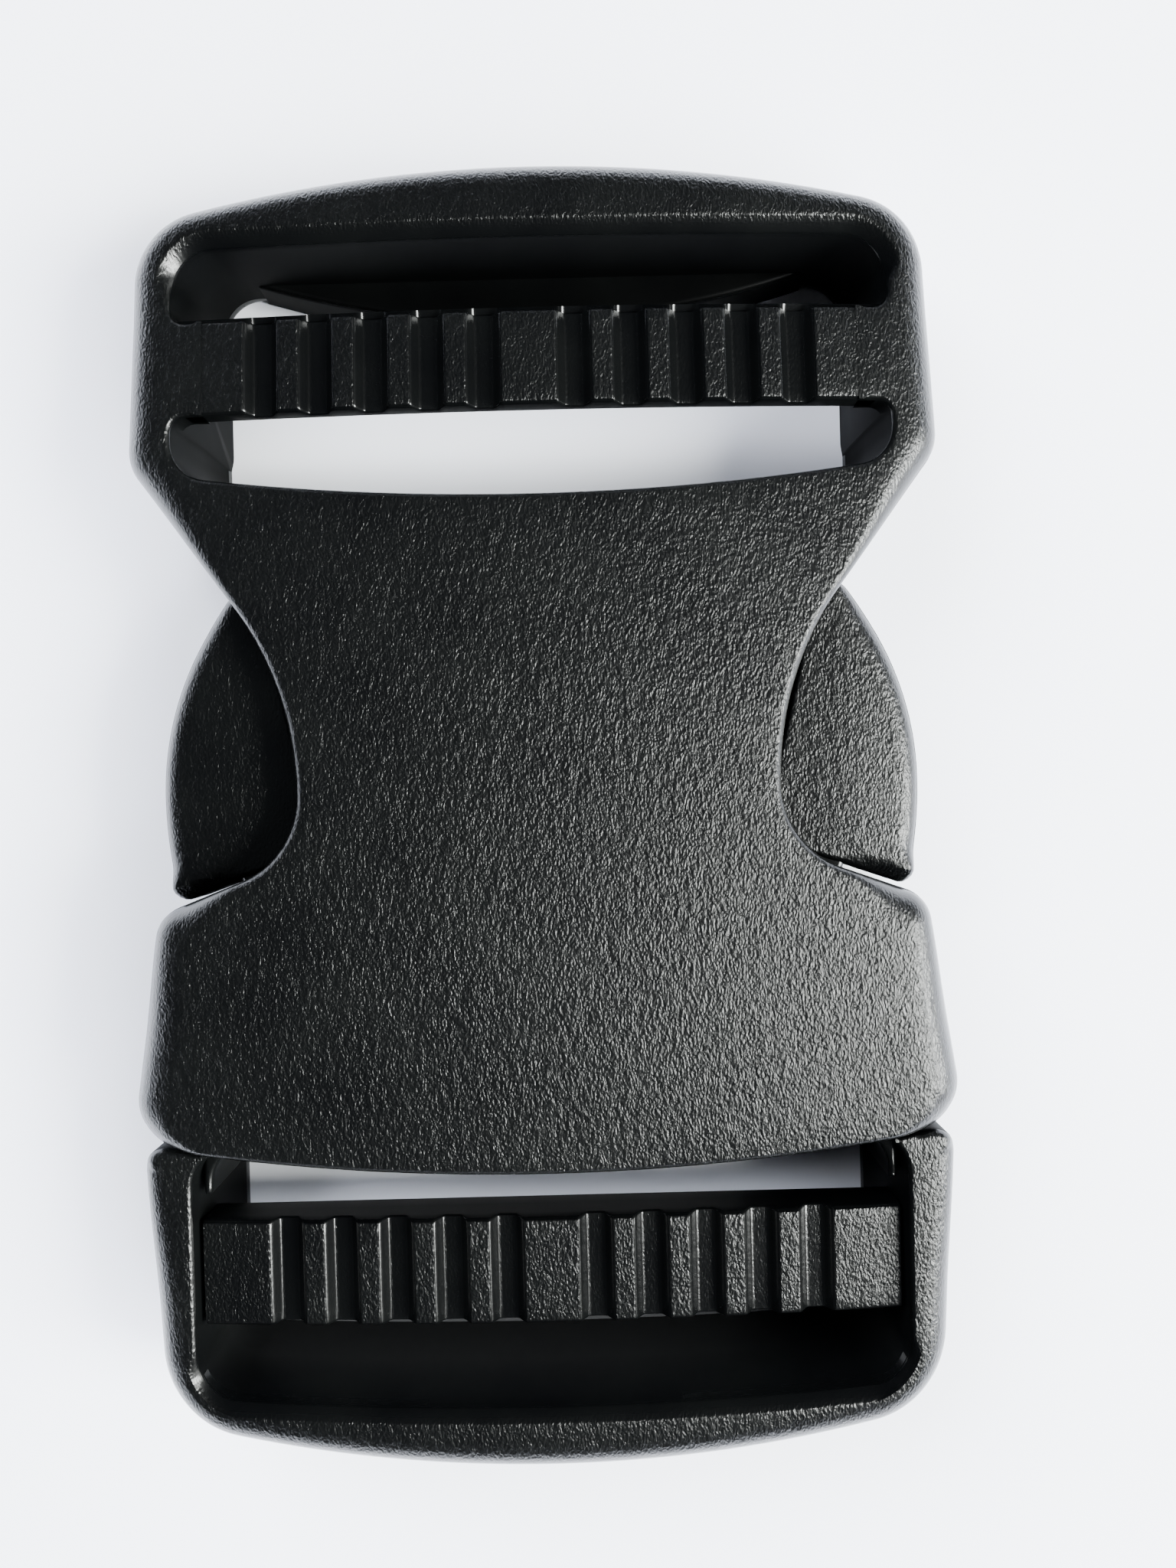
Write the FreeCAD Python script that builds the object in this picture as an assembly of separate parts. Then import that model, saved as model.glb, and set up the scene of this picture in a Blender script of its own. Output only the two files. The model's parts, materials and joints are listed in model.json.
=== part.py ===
"""Double-adjust side-release buckle for 40 mm webbing, closed.

Two mouldings: a socket with a strap frame, and a plug with a strap frame, a guide tongue
and two flexing arms that carry the release buttons. Each moulding is cut into the named
sections it is made of. Millimetres, +Z up. The buckle lies on its flat back at z = 0,
centred on X and Y; the socket's strap frame points along +Y and the plug's along -Y.
"""

import FreeCAD
import Part
import math
import os

Vector = FreeCAD.Vector

# Overall sizes
length = 79.6  # tip to tip, along Y
webbing_width = 40.0  # the strap each ladder slot takes
webbing_clearance = 0.7  # between the strap's edge and the slot's end, at the back face
rail_width = 4.15  # strap frame's side rails, at the back face
socket_height = 11.8  # crown of the top deck
plug_step = 1.6  # crown of the plug's frame below the socket's
crown_radius_across = 260.0
crown_radius_along = 420.0
end_radius = 105.0  # both ends bow out on this radius
top_edge_radius = 1.2
bottom_edge_radius = 0.6

# Socket strap frame, from its outer end inwards
slot_draft = 1.0  # each slot end leans out by this much, from back to front
socket_end_bar_width = 4.75
socket_outer_slot = 4.85
socket_bar_width = 5.8
socket_inner_slot = 5.35
socket_frame_corner = 5.0
socket_shoulder_corner = 3.0
side_taper = 0.5  # the rails splay by this much towards the body
throat_length = 4.45  # solid block between the strap frame and the pocket
throat_bow = 1.8  # the inner slot is this much wider at its middle
throat_margin = 0.6  # the throat reaches this far up beside the inner slot

# Socket body
deck_thickness = 2.2  # back deck
top_deck_thickness = 3.1  # at its crown
mouth_overhang = 1.3  # mouth of the pocket beyond the plug's cross-beam, at its middle
flank_angle = 37.5  # degrees from Y, where the waist runs into the strap frame
latch_slope = 20.0  # degrees from X, the upper edge of the skirt
skirt_top_corner = 1.6
skirt_mouth_corner = 2.4
mouth_radius = 161.0
guide_thickness = 1.2

# Socket body, as shares of the pocket's length
waist_share = 0.633  # mouth to the decks' narrowest place
waist_upper_share = 0.543  # radius above it
waist_lower_share = 0.151  # radius below it
guide_low_share = 0.367
guide_high_share = 0.843
tongue_share = 0.602
button_upper_share = 0.518  # radius of the button above its widest place
button_lower_share = 0.728

# Widths, each measured inwards from the strap frame's side
skirt_top_inset = 1.55
skirt_mouth_outset = 0.6
pocket_inset = 3.45
waist_inset = 10.55
button_inset = 1.4  # the buttons at their widest
hinge_inset_x = 12.35
arm_end_inset = 5.87  # where each arm's middle line meets its button
plug_end_inset = 0.8
plug_mouth_outset = 0.1

# Ladder bars
bar_thickness = 3.2
socket_bar_taper = 0.9  # each side leans in by this much towards the back
plug_bar_drop = 0.8  # the plug's bar lies below its rails by this much
groove_first = 2.7  # middle of the groove nearest the centre
groove_pitch = 3.35
groove_floor_width = 1.1
groove_lean = 0.47  # each groove's wall leans out by this much
groove_depth = 0.8
groove_end_land = 3.6  # plain bar beyond the last groove, at the least
socket_bar_drop = 5.2  # back of the socket's bar below the socket's crown
lip_height = 3.0  # arched lip along the foot of the socket's end bar
lip_reach = 2.4
lip_end_gap = 0.2  # each end of the lip to the slot's rounded corner

# Plug strap frame, from its outer end inwards
plug_end_bar_width = 3.8
plug_end_bar_bow = 0.6  # the end bar is this much wider at its ends
plug_end_bar_lean = 1.1  # and this much wider at the back
plug_outer_slot = 5.2
plug_bar_width = 6.45
plug_inner_slot = 4.55
plug_frame_corner = 6.0
plug_mouth_corner = 1.5
slot_corner = 2.4  # outer corners of the slots
bar_corner = 0.9  # where a ladder bar meets a rail
rail_start = 1.0  # the rails take in this much of the slot beside its corner

# Inside the pocket
slide_clearance = 0.25  # plug to each deck
side_clearance = 0.2  # plug to each skirt wall
mouth_gap = 0.35  # plug's frame to the socket's mouth
cross_beam_length = 5.3
tongue_half_width = 3.2
tongue_tip_half_width = 2.4
tongue_clearance = 0.4  # to each guide
tongue_relief = 0.5  # the tongue's faces inside the cross-beam's
beam_foot = 1.0  # the cross-beam's blank starts this far beyond the ladder bar
beam_lap = 0.2  # the cross-beam takes in this much of the slot's corners
hinge_inset = 1.8  # hinge line to the inner face of the cross-beam
knuckle_radius = 2.0
knuckle_clearance = 0.05
arm_width = 2.6
arm_swing = 8.0  # degrees, inwards
swing_room = 2.0  # degrees more than the arm needs
arm_clearance = 0.1  # arm's foot to the cross-beam at the full swing
button_widest_rise = 0.1  # the button's widest place above the waist
button_tip_gap = 0.8  # button's tip to the end of the pocket
button_tip_width = 1.64
button_inner_gap = 0.1  # the button's inner edge inside the waist's narrowest place
latch_gap = 0.2  # shoulder to the skirt's latching edge
shoulder_end_inset = 1.0  # the shoulder ends here, inside the button's widest place
button_edge_radius = 0.8

# Places that follow from those sizes
half_length = length / 2
plug_height = socket_height - plug_step
slot_half_width = webbing_width / 2 + webbing_clearance
slot_front_half_width = slot_half_width + slot_draft
frame_half_width = slot_half_width + rail_width
rail_split_x = slot_half_width - slot_corner - rail_start
lip_half_width = slot_half_width - slot_corner - lip_end_gap
socket_slot_end_y = half_length - socket_end_bar_width
socket_bar_high_y = socket_slot_end_y - socket_outer_slot
socket_bar_low_y = socket_bar_high_y - socket_bar_width
throat_high_y = socket_bar_low_y - socket_inner_slot
throat_low_y = throat_high_y - throat_length
throat_split_y = throat_high_y + throat_bow + throat_margin
plug_slot_end_y = -half_length + plug_end_bar_width
plug_bar_low_y = plug_slot_end_y + plug_outer_slot
plug_bar_high_y = plug_bar_low_y + plug_bar_width
beam_low_y = plug_bar_high_y + plug_inner_slot
beam_high_y = beam_low_y + cross_beam_length
mouth_y = beam_low_y - mouth_overhang
pocket_length = throat_low_y - mouth_y
pocket_half_width = frame_half_width - pocket_inset
pocket_roof_z = socket_height - top_deck_thickness
inner_low_z = deck_thickness + slide_clearance
inner_high_z = pocket_roof_z - slide_clearance
inner_half_width = pocket_half_width - side_clearance
socket_bar_back_z = socket_height - socket_bar_drop
skirt_top_half_width = frame_half_width - skirt_top_inset
skirt_mouth_half_width = frame_half_width + skirt_mouth_outset
plug_end_half_width = frame_half_width - plug_end_inset
plug_mouth_half_width = frame_half_width + plug_mouth_outset
waist_half_width = frame_half_width - waist_inset
waist_y = mouth_y + waist_share * pocket_length
waist_upper_radius = waist_upper_share * pocket_length
waist_lower_radius = waist_lower_share * pocket_length
guide_low_y = mouth_y + guide_low_share * pocket_length
guide_high_y = mouth_y + guide_high_share * pocket_length
tongue_length = tongue_share * pocket_length
button_half_width = frame_half_width - button_inset
button_widest_y = waist_y + button_widest_rise
button_tip_y = throat_low_y - button_tip_gap
button_upper_radius = button_upper_share * pocket_length
button_lower_radius = button_lower_share * pocket_length
button_inner_x = waist_half_width - button_inner_gap
hinge_x = frame_half_width - hinge_inset_x
hinge_y = beam_high_y - hinge_inset
arm_end_x = frame_half_width - arm_end_inset
arm_angle = math.degrees(math.atan2(arm_end_x - hinge_x, waist_y - hinge_y))
groove_room = slot_half_width - groove_first - groove_end_land
grooves_per_side = 1 + int(groove_room / groove_pitch)
crown_y = -6.0  # highest point of the top deck, along Y
plug_crown_y = -20.0

# Margins that only make cutting tools reach past what they cut
past = 5.0
far = 100.0
over_groove = 0.6  # a groove's tool stands this far above the bar
crown_side = frame_half_width + 15.0
crown_end = 1.5 * half_length

# Tolerances for picking edges and solids
pick_reach = 0.4
shortest_upright = 1.0
largest_lean = 2.0
level = 0.01
smallest_solid = 0.01


def mirrored(shape):
    return shape.mirror(Vector(0, 0, 0), Vector(1, 0, 0))


def block(x_range, y_range, z_range):
    corner = Vector(x_range[0], y_range[0], z_range[0])
    size = [high - low for low, high in (x_range, y_range, z_range)]
    return Part.makeBox(size[0], size[1], size[2], corner)


def line(start, end):
    return Part.LineSegment(Vector(*start, 0), Vector(*end, 0)).toShape()


def arc(start, middle, end):
    return Part.Arc(Vector(*start, 0), Vector(*middle, 0), Vector(*end, 0)).toShape()


def prism(edges, z_low, z_high):
    """A solid standing on the closed outline that the edges make in plan."""
    face = Part.Face(Part.Wire(Part.__sortEdges__(edges)))
    face.translate(Vector(0, 0, z_low))
    return face.extrude(Vector(0, 0, z_high - z_low))


def upright_edges(solid, x, y):
    """Edges that run up the solid near |x|, y in plan."""
    found = []
    for edge in solid.Edges:
        box = edge.BoundBox
        if box.ZLength < shortest_upright or box.YLength > largest_lean:
            continue
        middle = edge.CenterOfMass
        if abs(abs(middle.x) - x) < pick_reach and abs(middle.y - y) < pick_reach:
            found.append(edge)
    return found


def bow(radius, half_width):
    """How far an arc of this radius falls away at half_width from its middle."""
    return radius - math.sqrt(radius**2 - half_width**2)


def crown(apex_z, apex_y):
    """All the space under a surface that bows both across and along the buckle."""
    sections = []
    for share in (-1, -0.5, 0, 0.5, 1):
        y = share * crown_end
        top = apex_z - bow(crown_radius_along, abs(y - apex_y))
        side = top - bow(crown_radius_across, crown_side)
        start = Vector(-crown_side, y, side)
        middle = Vector(0, y, top)
        end = Vector(crown_side, y, side)
        foot_right = Vector(crown_side, y, -past)
        foot_left = Vector(-crown_side, y, -past)
        edges = [Part.Arc(start, middle, end).toShape()]
        for a, b in ((end, foot_right), (foot_right, foot_left), (foot_left, start)):
            edges.append(Part.LineSegment(a, b).toShape())
        sections.append(Part.Wire(edges))
    return Part.makeLoft(sections, True)


def round_rim(solid, z_low, z_high, radius):
    """Rounds the outer loop of the face that closes the solid between two heights."""
    faces = [face for face in solid.Faces if z_low <= face.CenterOfMass.z <= z_high]
    widest = max(faces, key=lambda face: face.Area)
    return solid.makeFillet(radius, widest.OuterWire.Edges)


def slot_tool(y_low, y_high, low_bow, corners_low, corners_high, low_lean=0.0):
    """A drafted slot across the strap frame: wider at the front than at the back."""
    outlines = []
    back = (slot_half_width, 0.0, low_lean)
    front = (slot_front_half_width, socket_height, 0.0)
    for half_width, z, lean in (back, front):
        side_y = y_low + low_bow + lean
        start = Vector(-half_width, side_y, z)
        end = Vector(half_width, side_y, z)
        high_right = Vector(half_width, y_high, z)
        high_left = Vector(-half_width, y_high, z)
        low_side = Part.LineSegment(start, end)
        if low_bow:
            low_side = Part.Arc(start, Vector(0, y_low + lean, z), end)
        edges = [low_side.toShape()]
        for a, b in ((end, high_right), (high_right, high_left), (high_left, start)):
            edges.append(Part.LineSegment(a, b).toShape())
        outlines.append(Part.Wire(edges))
    tool = Part.makeLoft(outlines, True, True)
    middle_width = (slot_half_width + slot_front_half_width) / 2
    low_corner_y = y_low + low_bow + low_lean / 2
    tool = tool.makeFillet(corners_low, upright_edges(tool, middle_width, low_corner_y))
    return tool.makeFillet(corners_high, upright_edges(tool, middle_width, y_high))


def plug_outer_slot_tool():
    """The plug's outer slot follows the bow and the lean of its end bar."""
    ends = (plug_slot_end_y, plug_bar_low_y)
    return slot_tool(*ends, plug_end_bar_bow, slot_corner, bar_corner, plug_end_bar_lean)


def socket_outline():
    """Plan of the socket, from the outer end round to the mouth and back."""
    end_half_width = frame_half_width - side_taper
    corner = (end_half_width, half_length - bow(end_radius, end_half_width))
    angle = math.radians(flank_angle)
    slope = math.radians(latch_slope)
    flank_x = waist_half_width + waist_upper_radius * (1 - math.cos(angle))
    flank_y = waist_y + waist_upper_radius * math.sin(angle)
    shoulder = (frame_half_width, flank_y + (frame_half_width - flank_x) / math.tan(angle))
    upper_centre = waist_half_width + waist_upper_radius
    upper_middle = (
        upper_centre - waist_upper_radius * math.cos(angle / 2),
        waist_y + waist_upper_radius * math.sin(angle / 2),
    )
    narrow = (waist_half_width, waist_y)
    lower_centre = waist_half_width + waist_lower_radius
    turn = math.radians(90 - latch_slope)
    lower_middle = (
        lower_centre - waist_lower_radius * math.cos(turn / 2),
        waist_y - waist_lower_radius * math.sin(turn / 2),
    )
    latch_start = latch_line_start()
    drop = (skirt_top_half_width - latch_start[0]) * math.tan(slope)
    latch_end = (skirt_top_half_width, latch_start[1] - drop)
    mouth = (skirt_mouth_half_width, mouth_y + bow(mouth_radius, skirt_mouth_half_width))
    right = [
        line(corner, shoulder),
        line(shoulder, (flank_x, flank_y)),
        arc((flank_x, flank_y), upper_middle, narrow),
        arc(narrow, lower_middle, latch_start),
        line(latch_start, latch_end),
        line(latch_end, mouth),
    ]
    ends = [
        arc((-corner[0], corner[1]), (0, half_length), corner),
        arc((-mouth[0], mouth[1]), (0, mouth_y), mouth),
    ]
    edges = ends + right + [mirrored(edge) for edge in right]
    corners = [
        (corner, socket_frame_corner),
        (shoulder, socket_shoulder_corner),
        (latch_end, skirt_top_corner),
        (mouth, skirt_mouth_corner),
    ]
    return edges, corners


def latch_line_start():
    """Where the skirt's upper edge leaves the waist."""
    slope = math.radians(latch_slope)
    centre_x = waist_half_width + waist_lower_radius
    x = centre_x - waist_lower_radius * math.sin(slope)
    return (x, waist_y - waist_lower_radius * math.cos(slope))


def ladder_grooves(y_low, y_high, top_z):
    """Drafted grooves to cut from a bar, top_z(x) being its height there."""
    tools = []
    start_y = y_low - past
    floor_half = groove_floor_width / 2
    rise = groove_depth + over_groove
    mouth_half = floor_half + groove_lean * rise / groove_depth
    for side in (-1, 1):
        for step in range(grooves_per_side):
            x = side * (groove_first + step * groove_pitch)
            floor = top_z(x) - groove_depth
            section = [
                Vector(x - floor_half, start_y, floor),
                Vector(x + floor_half, start_y, floor),
                Vector(x + mouth_half, start_y, floor + rise),
                Vector(x - mouth_half, start_y, floor + rise),
            ]
            face = Part.Face(Part.makePolygon(section + section[:1]))
            tools.append(face.extrude(Vector(0, y_high + past - start_y, 0)))
    return Part.makeCompound(tools)


def socket_blank():
    edges, corners = socket_outline()
    solid = prism(edges, 0, socket_height + past)
    for (x, y), radius in corners:
        solid = solid.makeFillet(radius, upright_edges(solid, x, y))
    solid = solid.common(crown(socket_height, crown_y))
    solid = round_rim(solid, pocket_roof_z, socket_height, top_edge_radius)
    return round_rim(solid, -level, level, bottom_edge_radius)


def socket_sections():
    solid = socket_blank()
    bowed_low = slot_tool(
        throat_high_y, socket_bar_low_y, throat_bow, slot_corner, bar_corner
    )
    outer = slot_tool(socket_bar_high_y, socket_slot_end_y, 0, bar_corner, slot_corner)
    solid = solid.cut(bowed_low).cut(outer)
    inside = (-pocket_half_width, pocket_half_width)
    z_pocket = (deck_thickness, pocket_roof_z)
    pocket = block(inside, (mouth_y - past, throat_low_y), z_pocket)
    windows = block((-far, far), (latch_line_start()[1], throat_low_y), z_pocket)
    solid = solid.cut(pocket).cut(windows)

    everywhere = (-far, far)
    body_y = (-far, throat_low_y)
    right_of_pocket = (pocket_half_width, far)
    skirt = solid.common(block(right_of_pocket, body_y, z_pocket))
    nodes = {
        "socket_top_deck": solid.common(block(everywhere, body_y, (pocket_roof_z, far))),
        "socket_bottom_deck": solid.common(block(everywhere, body_y, (-far, deck_thickness))),
        "socket_right_skirt": skirt,
        "socket_left_skirt": mirrored(skirt),
        "socket_throat": solid.common(
            block(everywhere, (throat_low_y, throat_split_y), everywhere)
        ),
        "socket_end_bar": solid.common(
            block(everywhere, (socket_slot_end_y, far), everywhere)
        ),
    }
    rail = solid.common(
        block((rail_split_x, far), (throat_split_y, socket_slot_end_y), everywhere)
    )
    bar_span = (socket_bar_low_y, socket_bar_high_y)
    rail = rail.cut(block((0, slot_half_width), bar_span, everywhere))
    nodes["socket_right_rail"] = rail
    nodes["socket_left_rail"] = mirrored(rail)
    nodes["socket_ladder_bar"] = socket_ladder_bar()
    nodes["socket_strap_lip"] = socket_strap_lip()
    guide = socket_guide()
    nodes["socket_right_guide"] = guide
    nodes["socket_left_guide"] = mirrored(guide)
    return nodes


def socket_ladder_bar():
    """Narrower at the back than at the front, so that the webbing pinches on its front."""
    low = socket_bar_low_y
    high = socket_bar_high_y
    taper = socket_bar_taper
    top = socket_height
    outline = [
        Vector(-slot_half_width, low + taper, socket_bar_back_z),
        Vector(-slot_half_width, high - taper, socket_bar_back_z),
        Vector(-slot_half_width, high, socket_bar_back_z + bar_thickness / 2),
        Vector(-slot_half_width, high, top),
        Vector(-slot_half_width, low, top),
        Vector(-slot_half_width, low, socket_bar_back_z + bar_thickness / 2),
    ]
    bar = Part.Face(Part.makePolygon(outline + outline[:1]))
    bar = bar.extrude(Vector(2 * slot_half_width, 0, 0))
    bar = bar.common(crown(socket_height, crown_y))
    middle_y = (low + high) / 2

    def top_z(x):
        along = bow(crown_radius_along, abs(middle_y - crown_y))
        return socket_height - along - bow(crown_radius_across, abs(x))

    return bar.cut(ladder_grooves(low, high, top_z))


def socket_strap_lip():
    """An arched lip along the foot of the end bar, facing the ladder bar."""
    y = socket_slot_end_y
    edges = [
        line((-lip_half_width, y), (lip_half_width, y)),
        arc((-lip_half_width, y), (0, y - lip_reach), (lip_half_width, y)),
    ]
    return prism(edges, 0, lip_height)


def socket_guide():
    """A rib that keeps the plug's tongue straight."""
    inner = tongue_half_width + tongue_clearance
    x_range = (inner, inner + guide_thickness)
    return block(x_range, (guide_low_y, guide_high_y), (deck_thickness, pocket_roof_z))


def plug_blank():
    """The plug's strap frame, full height, up to the socket's mouth."""
    top_y = mouth_y - mouth_gap
    top = (plug_mouth_half_width, top_y + bow(mouth_radius, plug_mouth_half_width))
    corner = (plug_end_half_width, -half_length + bow(end_radius, plug_end_half_width))
    edges = [
        arc((-top[0], top[1]), (0, top_y), top),
        arc((-corner[0], corner[1]), (0, -half_length), corner),
        line(top, corner),
        mirrored(line(top, corner)),
    ]
    solid = prism(edges, 0, plug_height + past)
    solid = solid.makeFillet(plug_frame_corner, upright_edges(solid, *corner))
    solid = solid.makeFillet(plug_mouth_corner, upright_edges(solid, *top))
    solid = solid.common(crown(plug_height, plug_crown_y))
    solid = round_rim(solid, plug_height / 2, plug_height, top_edge_radius)
    return round_rim(solid, -level, level, bottom_edge_radius)


def plug_sections():
    inside = (-inner_half_width, inner_half_width)
    slab_low = plug_bar_high_y + beam_foot
    slab = block(inside, (slab_low, beam_high_y), (inner_low_z, inner_high_z))
    solid = plug_blank().fuse(slab)
    inner = slot_tool(plug_bar_high_y, beam_low_y, 0, bar_corner, slot_corner)
    solid = solid.cut(inner).cut(plug_outer_slot_tool())

    everywhere = (-far, far)
    beam_split_y = beam_low_y - beam_lap
    beam = solid.common(block(inside, (beam_split_y, far), everywhere))
    beam = beam.cut(arm_seat()).cut(mirrored(arm_seat()))
    end_y = plug_slot_end_y + plug_end_bar_bow + plug_end_bar_lean
    rail = solid.common(block((rail_split_x, far), (end_y, far), everywhere))
    rail = rail.cut(block((0, inner_half_width), (beam_split_y, far), everywhere))
    rail = rail.cut(block((0, slot_half_width), (plug_bar_low_y, plug_bar_high_y), everywhere))
    return {
        "plug_cross_beam": beam,
        "plug_tongue": plug_tongue(),
        "plug_right_rail": rail,
        "plug_left_rail": mirrored(rail),
        "plug_ladder_bar": plug_ladder_bar(),
        "plug_end_bar": solid.common(block(everywhere, (-far, end_y), everywhere)),
    }


def plug_ladder_bar():
    x_range = (-slot_half_width, slot_half_width)
    y_range = (plug_bar_low_y, plug_bar_high_y)
    top = plug_height - plug_bar_drop
    back = top - bow(crown_radius_across, slot_half_width) - bar_thickness
    bar = block(x_range, y_range, (back, plug_height))
    bar = bar.common(crown(top, plug_crown_y))

    def top_z(x):
        return top - bow(crown_radius_across, abs(x))

    return bar.cut(ladder_grooves(plug_bar_low_y, plug_bar_high_y, top_z))


def plug_tongue():
    """The centre prong, which runs between the socket's two guides."""
    tip_y = beam_high_y + tongue_length
    start = tip_y - tongue_tip_half_width
    edges = [
        line((tongue_half_width, beam_high_y), (tongue_tip_half_width, start)),
        line((-tongue_half_width, beam_high_y), (-tongue_tip_half_width, start)),
        line((-tongue_half_width, beam_high_y), (tongue_half_width, beam_high_y)),
        arc((-tongue_tip_half_width, start), (0, tip_y), (tongue_tip_half_width, start)),
    ]
    return prism(edges, inner_low_z + tongue_relief, inner_high_z - tongue_relief)


def turned_about_hinge(shape, degrees):
    turned = shape.copy()
    turned.rotate(Vector(hinge_x, hinge_y, 0), Vector(0, 0, 1), degrees)
    return turned


def arm_bar(half_width, reach, z_low, z_high):
    """A straight bar from the hinge line along the arm."""
    bar = block(
        (hinge_x - half_width, hinge_x + half_width), (hinge_y, hinge_y + reach), (z_low, z_high)
    )
    return turned_about_hinge(bar, -arm_angle)


def arm_seat():
    """Space in the cross-beam for the right arm's root over its whole swing."""
    centre = Vector(hinge_x, hinge_y, inner_low_z - past)
    space = Part.makeCylinder(knuckle_radius + knuckle_clearance, far, centre)
    half_width = arm_width / 2 + arm_clearance
    turn = arm_swing + swing_room
    for share in (0, 0.25, 0.5, 0.75, 1):
        bar = arm_bar(half_width, 2 * hinge_inset, -far, far)
        space = space.fuse(turned_about_hinge(bar, share * turn))
    return space


def button_outline():
    """Plan of the right release button, with its latching shoulder."""
    slope = math.tan(math.radians(latch_slope))
    latch_x, latch_y = latch_line_start()

    def shoulder_y(x):
        return latch_y + latch_gap / math.cos(math.radians(latch_slope)) - (x - latch_x) * slope

    def outer_x(y):
        radius = button_upper_radius if y > button_widest_y else button_lower_radius
        return button_half_width - bow(radius, abs(y - button_widest_y))

    tip_x = outer_x(button_tip_y)
    upper_y = (button_widest_y + button_tip_y) / 2
    corner_y = shoulder_y(button_half_width - shoulder_end_inset)
    shoulder = (outer_x(corner_y), corner_y)
    lower_y = (button_widest_y + shoulder[1]) / 2
    neck = (tip_x - button_tip_width, button_tip_y)
    inner = (button_inner_x, button_widest_y)
    heel = (button_inner_x, shoulder_y(button_inner_x))
    widest = (button_half_width, button_widest_y)
    return [
        arc(shoulder, (outer_x(lower_y), lower_y), widest),
        arc(widest, (outer_x(upper_y), upper_y), (tip_x, button_tip_y)),
        line((tip_x, button_tip_y), neck),
        line(neck, inner),
        line(inner, heel),
        line(heel, shoulder),
    ]


def arm_sections():
    """The right arm: root and beam, button, and the thumb pad beyond the pocket's wall."""
    button = prism(button_outline(), inner_low_z, inner_high_z)
    rims = [
        edge
        for edge in button.Edges
        if edge.BoundBox.ZLength < level and edge.CenterOfMass.x > arm_end_x
    ]
    button = button.makeFillet(button_edge_radius, rims)
    beyond = block((inner_half_width, far), (-far, far), (-far, far))
    beam_z = (inner_low_z, inner_high_z)
    foot = Vector(hinge_x, hinge_y, beam_z[0])
    root = Part.makeCylinder(knuckle_radius, beam_z[1] - beam_z[0], foot)
    reach = (waist_y - hinge_y) / math.cos(math.radians(arm_angle))
    beam = arm_bar(arm_width / 2, reach, *beam_z)
    arm = root.fuse(beam).cut(prism(button_outline(), *beam_z)).removeSplitter()
    arm = max(arm.Solids, key=lambda solid: solid.Volume)
    return {
        "spring_arm": arm,
        "release_button": button.cut(beyond),
        "thumb_pad": button.common(beyond),
    }


def single_solid(name, shape):
    solids = [solid for solid in shape.Solids if solid.Volume > smallest_solid]
    if len(solids) != 1:
        print("WARNING", name, "has", len(solids), "solids")
        return Part.makeCompound(solids)
    return solids[0]


def all_nodes():
    nodes = {}
    nodes.update(socket_sections())
    nodes.update(plug_sections())
    for name, shape in arm_sections().items():
        nodes["right_" + name] = shape
        nodes["left_" + name] = mirrored(shape)
    return {name: single_solid(name, shape) for name, shape in nodes.items()}


os.makedirs("parts", exist_ok=True)
for name, shape in all_nodes().items():
    print(name, "volume", round(shape.Volume, 2), "valid", shape.isValid())
    shape.exportStep(os.path.join("parts", name + ".step"))
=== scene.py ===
import json
import math

import bmesh
import bpy
import numpy as np
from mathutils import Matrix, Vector
from mathutils.geometry import delaunay_2d_cdt


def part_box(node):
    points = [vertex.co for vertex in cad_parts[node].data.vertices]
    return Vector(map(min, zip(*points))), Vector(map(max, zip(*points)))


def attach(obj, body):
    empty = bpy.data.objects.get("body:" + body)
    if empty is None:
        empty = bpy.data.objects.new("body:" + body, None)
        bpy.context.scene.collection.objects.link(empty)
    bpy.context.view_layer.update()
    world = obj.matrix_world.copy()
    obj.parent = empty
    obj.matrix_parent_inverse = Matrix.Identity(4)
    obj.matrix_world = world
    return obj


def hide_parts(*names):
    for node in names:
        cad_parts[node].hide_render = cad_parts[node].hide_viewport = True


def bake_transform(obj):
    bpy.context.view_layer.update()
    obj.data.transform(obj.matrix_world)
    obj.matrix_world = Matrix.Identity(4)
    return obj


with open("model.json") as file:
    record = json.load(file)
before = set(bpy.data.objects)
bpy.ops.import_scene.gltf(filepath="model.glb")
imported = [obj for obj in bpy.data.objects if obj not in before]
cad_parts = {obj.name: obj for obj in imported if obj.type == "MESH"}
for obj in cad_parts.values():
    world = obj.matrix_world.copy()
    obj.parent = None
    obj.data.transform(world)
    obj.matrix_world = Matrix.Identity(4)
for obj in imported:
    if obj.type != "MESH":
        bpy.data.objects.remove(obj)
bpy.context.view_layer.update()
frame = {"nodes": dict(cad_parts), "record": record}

MM = 0.001  # lengths below are in millimetres, and meshes are in metres


def node_box(node):
    """A CAD node's lowest and highest corners in millimetres."""
    low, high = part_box(node)
    return np.array(low) / MM, np.array(high) / MM


# ---------------------------------------------------------------- sizes, from the frame
CROWN_ACROSS = 260.0  # radius of the fronts' bow across the buckle
CROWN_ALONG = 420.0
SOCKET_CROWN_Y = -6.0
PLUG_CROWN_Y = -20.0
END_RADIUS = 105.0
MOUTH_RADIUS = 161.0
FLANK_ANGLE = math.radians(37.5)
LATCH_SLOPE = math.radians(20.0)
WAIST_HALF = 14.3
WAIST_Y = 1.5
WAIST_UPPER = 19.39
WAIST_LOWER = 5.39
SKIRT_TOP_HALF = 23.3
SKIRT_MOUTH_HALF = 25.45
SKIRT_TOP_CORNER = 2.2
SKIRT_MOUTH_CORNER = 2.7
FRAME_CORNER = 5.0
SHOULDER_CORNER = 3.0
RAIL_WIDTH = 4.15
SIDE_TAPER = 0.5
SLOT_DRAFT = 1.0
SLOT_CORNER = 2.4
BAR_CORNER = 0.9
THROAT_HIGH_Y = 19.05
THROAT_BOW = 1.8
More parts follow.
